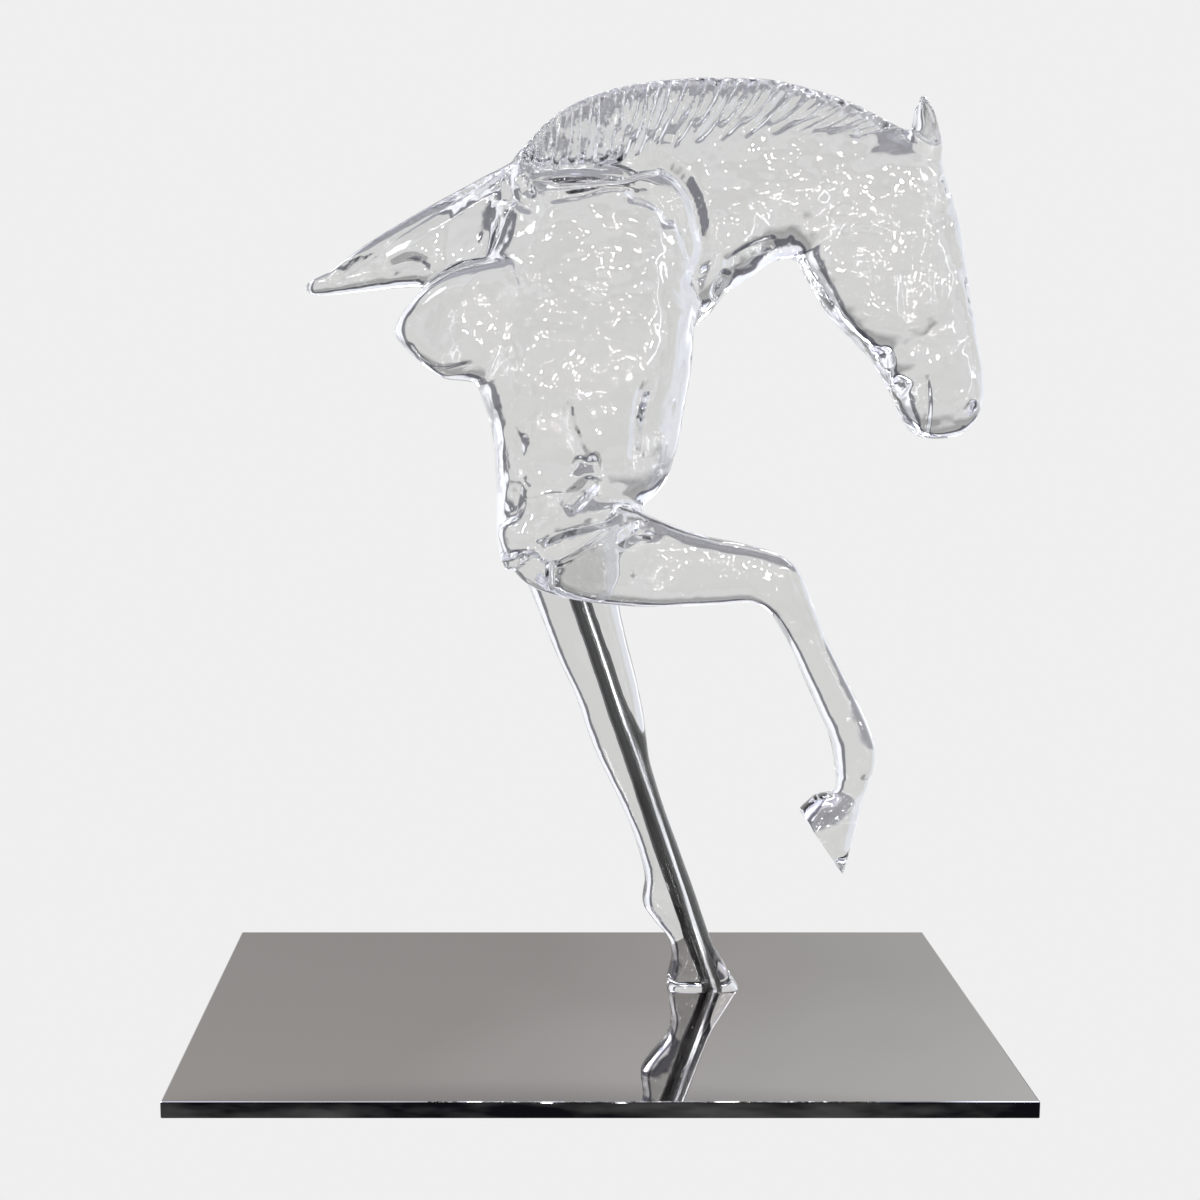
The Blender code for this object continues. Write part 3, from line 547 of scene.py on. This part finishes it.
def carve(mesh, strokes, sharp=False, far=FAR_SIDE):
    """Moves the skin in or out beside each stroke's path, fading to its edges and ends."""
    points, normals, flat = read_skin(mesh)
    depth_at = np.zeros(len(points))
    for path, half_width, depth, sides in strokes:
        path = smooth_rows(path, PATH_STEPS)
        low, high = path.min(axis=0) - half_width, path.max(axis=0) + half_width
        near = np.flatnonzero(((flat > low) & (flat < high)).all(axis=1))
        distance, place = distance_to_path(flat[near], path)
        share = np.clip(distance / half_width, 0, 1)
        fade = 1 - share if sharp else (1 - share**2) ** 1.5
        fade *= np.clip(END_FADE * np.minimum(place, 1 - place), 0, 1)
        for side in sides:
            facing = 1 if side == 0 else np.clip(SIDE_FADE * side * normals[near, 1], 0, 1)
            facing = facing * (side * points[near, 1] >= 0)
            facing = facing * (far if side == LEFT else 1)
            wanted = depth * fade * facing
            if sharp:
                wanted = np.minimum(wanted, DEEPEST * np.abs(points[near, 1]) / SHARE)
                depth_at[near] = np.maximum(depth_at[near], wanted)
            else:
                depth_at[near] += wanted
    points -= normals * depth_at[:, None] * SHARE
    mesh.vertices.foreach_set("co", points.ravel())
    mesh.update()


def ripple(mesh):
    """The slight unevenness that hand polishing leaves, less on edges, the legs and the spur."""
    points, normals, flat = read_skin(mesh)
    height = np.zeros(len(points))
    for i, point in enumerate(points):
        spot = Vector(point)
        for fineness, most in RIPPLES:
            height[i] += most * noise.noise(spot * fineness)
    height *= 0.2 + 0.8 * np.abs(normals[:, 1])
    height *= np.interp(flat[:, 1], (44, 56), (0.35, 1))
    height *= np.interp(flat[:, 0], (-16, -9), (0.4, 1))
    points += normals * height[:, None]
    mesh.vertices.foreach_set("co", points.ravel())
    mesh.update()


def cut_flat(mesh, place, outward):
    """Cuts away what lies beyond a plane and closes the cut with one flat face."""
    shape = bmesh.new()
    shape.from_mesh(mesh)
    verts = [vert for vert in shape.verts if (vert.co - place).length < CUT_REACH]
    faces = {face for vert in verts for face in vert.link_faces}
    edges = {edge for face in faces for edge in face.edges}
    geometry = list(faces) + list(edges) + verts
    made = bmesh.ops.bisect_plane(
        shape, geom=geometry, plane_co=place, plane_no=outward, clear_outer=True
    )
    rim = [item for item in made["geom_cut"] if isinstance(item, bmesh.types.BMEdge)]
    bmesh.ops.contextual_create(shape, geom=rim)
    shape.to_mesh(mesh)
    shape.free()


def build_horse():
    """The fine horse, with the solid's form. Its resin closes on the rod, which is cast in."""
    item = bpy.data.objects.new("resin_horse", horse_masses())
    bpy.context.scene.collection.objects.link(item)
    mesh = fuse(item)
    strands = mane_strands()
    refine_near(mesh, strands + CHANNELS)
    mesh = smooth_skin(item, 2)
    carve(mesh, CARVING)
    carve(mesh, CHANNELS, sharp=True)
    carve(mesh, strands, far=FAR_MANE)
    ripple(mesh)
    standing_sole = Vector((STANDING_SOLE_X, LEG_SPREAD, PLATE_THICKNESS + GAP))
    cut_flat(mesh, standing_sole, Vector((0, 0, -1)))
    toe, heel = (Vector((u * SHARE, -LEG_SPREAD, v * SHARE + PLATE_THICKNESS)) for u, v in RAISED_SOLE)
    along = toe - heel
    cut_flat(mesh, (toe + heel) / 2, Vector((along.z, 0, -along.x)).normalized())
    low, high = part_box("horse")
    points = read_skin(mesh)[0]
    mesh.vertices.foreach_set("co", np.clip(points, np.array(low), np.array(high)).ravel())
    mesh.shade_smooth()
    return item


def principled(name, colour, roughness, metallic):
    """A material with its tree and its shader, from plain values."""
    made = bpy.data.materials.new(name)
    made.use_nodes = True
    shader = made.node_tree.nodes["Principled BSDF"]
    shader.inputs["Base Color"].default_value = (*colour, 1)
    shader.inputs["Roughness"].default_value = roughness
    shader.inputs["Metallic"].default_value = metallic
    return made, made.node_tree, shader


def feed(tree, socket, value):
    """Links an input to an output, or gives it a plain value."""
    if isinstance(value, bpy.types.NodeSocket):
        tree.links.new(value, socket)
    else:
        socket.default_value = value


def node(tree, kind, **values):
    """A node with its inputs fed and its settings set, each by name."""
    made = tree.nodes.new(kind)
    for key, value in values.items():
        if key in made.inputs:
            feed(tree, made.inputs[key], value)
        else:
            setattr(made, key, value)
    return made


def math_of(tree, operation, *values):
    """What a sum makes of outputs and plain numbers."""
    made = node(tree, "ShaderNodeMath", operation=operation)
    for socket, value in zip(made.inputs, values):
        feed(tree, socket, value)
    return made.outputs[0]


def noise_of(tree, vector, scale, detail):
    return node(tree, "ShaderNodeTexNoise", Vector=vector, Scale=scale, Detail=detail).outputs["Fac"]


def mapped(tree, vector, **values):
    """A vector turned or stretched."""
    made = node(tree, "ShaderNodeMapping", vector_type="POINT", Vector=vector, **values)
    return made.outputs["Vector"]


def stretched(tree, value, low, high):
    """A value spread so that low becomes 0 and high becomes 1."""
    made = node(tree, "ShaderNodeMapRange", Value=value, **{"From Min": low, "From Max": high})
    return made.outputs["Result"]


def mix_of(tree, factor, first, second, blend="MIX"):
    """Two colours mixed, or the first multiplied by the second."""
    made = node(tree, "ShaderNodeMix", data_type="RGBA", blend_type=blend)
    for index, value in ((0, factor), (6, first), (7, second)):
        feed(tree, made.inputs[index], value)
    return made.outputs[2]


def ramp_of(tree, source, stops):
    """A ramp along a 0 to 1 value, from pairs of place and grey or colour."""
    ramp = node(tree, "ShaderNodeValToRGB", Fac=source)
    elements = ramp.color_ramp.elements
    elements[0].position = stops[0][0]
    elements[1].position = stops[-1][0]
    for place, grey in stops[1:-1]:
        elements.new(place)
    for element, (place, grey) in zip(elements, stops):
        element.color = (*grey, 1) if isinstance(grey, tuple) else (grey, grey, grey, 1)
    return ramp.outputs["Color"]


def resin():
    """Clear cast resin: plain glass values and a faint waviness left by hand polishing."""
    made, tree, shader = principled("clear_resin", (0.736, 0.736, 0.728), 0.005, 0)
    shader.inputs["Transmission Weight"].default_value = 1
    shader.inputs["IOR"].default_value = 1.49
    place = node(tree, "ShaderNodeTexCoord").outputs["Object"]
    waves = noise_of(tree, place, 70.0, 2.0)
    bump = node(tree, "ShaderNodeBump", Strength=0.15, Distance=0.002, Height=waves)
    tree.links.new(bump.outputs["Normal"], shader.inputs["Normal"])
    return made


def plate_steel():
    """Mirror steel, a little paler to the right and front and dark on the edges, both painted reflection.
    """
    made, tree, shader = principled("mirror_steel", (0.60, 0.59, 0.58), 0.02, 1)
    place = node(tree, "ShaderNodeTexCoord")
    where = node(tree, "ShaderNodeSeparateXYZ", Vector=place.outputs["Object"])
    # The top's greys are painted reflection, lighter to the right and front, made uneven by broad noise.
    painted_reflection_blotch = noise_of(tree, place.outputs["Object"], 4.0, 2.0)
    ahead = math_of(tree, "MULTIPLY_ADD", where.outputs["Y"], -0.35, where.outputs["X"])
    painted_reflection_place = math_of(tree, "MULTIPLY_ADD", painted_reflection_blotch, 0.35, ahead)
    top = ramp_of(
        tree,
        stretched(tree, painted_reflection_place, -0.25, 0.65),
        [(0.0, (0.56, 0.53, 0.51)), (0.35, (0.55, 0.51, 0.49)), (1.0, (0.86, 0.855, 0.84))],
    )
    # The upright edges get painted dark reflection, mottled near black.
    blotch = noise_of(tree, mapped(tree, place.outputs["Object"], Scale=(14, 14, 60)), 1.0, 3.0)
    rim = ramp_of(tree, blotch, [(0.42, (0.006, 0.006, 0.008)), (0.72, 0.07)])
    facing = node(tree, "ShaderNodeSeparateXYZ", Vector=place.outputs["Normal"])
    level = math_of(tree, "ABSOLUTE", facing.outputs["Z"])
    flat = math_of(tree, "GREATER_THAN", level, 0.4)
    tree.links.new(mix_of(tree, flat, rim, top), shader.inputs["Base Color"])
    return made


def rod_steel():
    """Drawn bar with fine lines, its greys painted reflection: dark, with one painted bright highlight
    streak along it.
    """
    made, tree, shader = principled("drawn_bar_painted_streak", (0.10, 0.10, 0.10), 0.16, 1)
    place = node(tree, "ShaderNodeTexCoord").outputs["Object"]
    upright = mapped(tree, place, Rotation=(0, ROD_LEAN, 0))
    split = node(tree, "ShaderNodeSeparateXYZ", Vector=upright)
    foot, _, ahead = rod_frame()
    middle = foot @ ahead
    across = stretched(tree, split.outputs["X"], middle - ROD_RADIUS, middle + ROD_RADIUS)
    lines = noise_of(tree, mapped(tree, upright, Scale=(300, 300, 6)), 1.0, 2.0)
    # Painted reflection across the bar: dark, a faint painted highlight near one edge, a bright painted
    # highlight streak near the other.
    painted_reflection_greys = ramp_of(
        tree,
        math_of(tree, "MULTIPLY_ADD", lines, 0.36, across),
        [(0.0, 0.04), (0.20, 0.10), (0.30, 0.04), (0.62, 0.05), (0.76, 0.16), (0.80, 0.95), (0.90, 0.95),
         (0.94, 0.22), (1.0, 0.10)],
    )
    tree.links.new(painted_reflection_greys, shader.inputs["Base Color"])
    return made


def build_floor():
    """A round pale floor that glows evenly and that rays through the resin don't meet."""
    shape = bmesh.new()
    bmesh.ops.create_circle(shape, cap_ends=True, segments=128, radius=2.4)
    mesh = bpy.data.meshes.new("floor")
    shape.to_mesh(mesh)
    shape.free()
    item = bpy.data.objects.new("floor", mesh)
    bpy.context.scene.collection.objects.link(item)
    made, _, shader = principled("pale_floor", (0, 0, 0), 1, 0)
    shader.inputs["Specular IOR Level"].default_value = 0
    shader.inputs["Emission Color"].default_value = (1, 1, 1, 1)
    shader.inputs["Emission Strength"].default_value = FLOOR_GREY
    mesh.materials.append(made)
    item.visible_transmission = False


def build_sky():
    """Pale at eye level, a dark ring above it, light and dark patches overhead, a low band behind."""
    world = bpy.data.worlds.new("studio")
    bpy.context.scene.world = world
    world.use_nodes = True
    tree = world.node_tree
    back = tree.nodes["Background"]
    direction = node(tree, "ShaderNodeTexCoord").outputs["Generated"]
    split = node(tree, "ShaderNodeSeparateXYZ", Vector=direction)
    level = ramp_of(tree, split.outputs["Z"], SKY_RISE)
    patches = ramp_of(tree, noise_of(tree, direction, 2.2, 1.0), SKY_PATCHES)
    cool = mix_of(tree, 1, patches, COOL_PATCH, "MULTIPLY")
    overhead = ramp_of(tree, split.outputs["Z"], PATCHES_FROM)
    patchy = mix_of(tree, overhead, level, cool, "MULTIPLY")
    bearing = math_of(tree, "ARCTAN2", split.outputs["Y"], split.outputs["X"])
    quarter = math_of(tree, "DIVIDE", bearing, math.pi / 2)
    cards = ramp_of(tree, math_of(tree, "FRACT", quarter), SKY_BEARINGS)
    carded = mix_of(tree, 1, patchy, cards, "MULTIPLY")
    low = ramp_of(tree, math_of(tree, "MULTIPLY", split.outputs["Z"], -1), SKY_BELOW)
    behind = math_of(tree, "COMPARE", quarter, BEHIND, BEHIND_REACH)
    lowered = mix_of(tree, behind, carded, low, "MULTIPLY")
    tree.links.new(lowered, back.inputs["Color"])
    path = node(tree, "ShaderNodeLightPath")
    seen = node(tree, "ShaderNodeBackground", Color=(FLOOR_GREY, FLOOR_GREY, FLOOR_GREY, 1))
    choose = node(tree, "ShaderNodeMixShader", Fac=path.outputs["Is Camera Ray"])
    feed(tree, choose.inputs[1], back.outputs["Background"])
    feed(tree, choose.inputs[2], seen.outputs["Background"])
    tree.links.new(choose.outputs["Shader"], tree.nodes["World Output"].inputs["Surface"])


def add_lamp(place, size, power):
    """A soft rectangular lamp that faces the horse and that the camera doesn't see."""
    light = bpy.data.lights.new("lamp", "AREA")
    light.shape = "RECTANGLE"
    light.size, light.size_y = size
    light.energy = power
    light.color = LAMP_COLOUR
    item = bpy.data.objects.new("lamp", light)
    bpy.context.scene.collection.objects.link(item)
    item.location = place
    aim = Vector(LAMP_AIM) - item.location
    item.rotation_euler = aim.to_track_quat("-Z", "Y").to_euler()
    item.visible_camera = False


def add_ring(bearings, radius, height, change, size, power):
    """Small lamps round the horse, at these bearings in degrees and at varied heights."""
    for i, bearing in enumerate(bearings):
        turn = math.radians(bearing)
        rise = height + change * math.sin(2.4 * i)
        add_lamp((radius * math.sin(turn), -radius * math.cos(turn), rise), size, power)


def add_glints():
    """Tiny lamps in front, each of which the resin shows as a pinpoint of light."""
    for i in range(36):
        across, rise = 0.2 + 1.3 * math.sin(2.4 * i), 0.9 + 0.8 * math.cos(3.9 * i)
        size = 0.07 if i % 9 == 3 else 0.025
        add_lamp((across, -2.5, rise), (size, 1.5 * size), 1000 * size * size)
    for i in range(16):
        across, rise = 0.45 * math.sin(2.4 * i), 0.6 + 0.35 * math.cos(3.9 * i)
        add_lamp((across, -2.6, rise), (0.018, 0.027), 0.35)


def build_light():
    build_sky()
    for place, size, power in SOFT_BOXES:
        add_lamp(place, size, power)
    add_ring([-75 + 150 * i / 31 for i in range(32)], 2.4, 1.35, 0.8, (0.035, 0.055), 1.2)
    add_glints()
    add_ring([80 + 200 * (i + 0.5) / 10 for i in range(10)], 2.2, 2.5, 0.4, (0.06, 0.09), 2)


def build_camera():
    data = bpy.data.cameras.new("camera")
    data.sensor_width = SENSOR_WIDTH
    data.lens = SENSOR_WIDTH * FOCAL_LENGTH / PHOTO_WIDTH
    data.shift_x = SIDE_SHIFT / PHOTO_WIDTH
    item = bpy.data.objects.new("camera", data)
    bpy.context.scene.collection.objects.link(item)
    item.location = CAMERA_PLACE
    item.rotation_euler = (math.pi / 2 - math.atan(FALL / FOCAL_LENGTH), 0, 0)
    bpy.context.scene.camera = item


build_camera()
build_light()
build_floor()
horse = build_horse()
horse.data.materials.append(resin())
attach(horse, "root")
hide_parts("horse")
for name, look in (("base_plate", plate_steel()), ("support_rod", rod_steel())):
    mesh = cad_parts[name].data
    mesh.materials.clear()
    mesh.materials.append(look)
bpy.context.scene.view_settings.view_transform = "Standard"
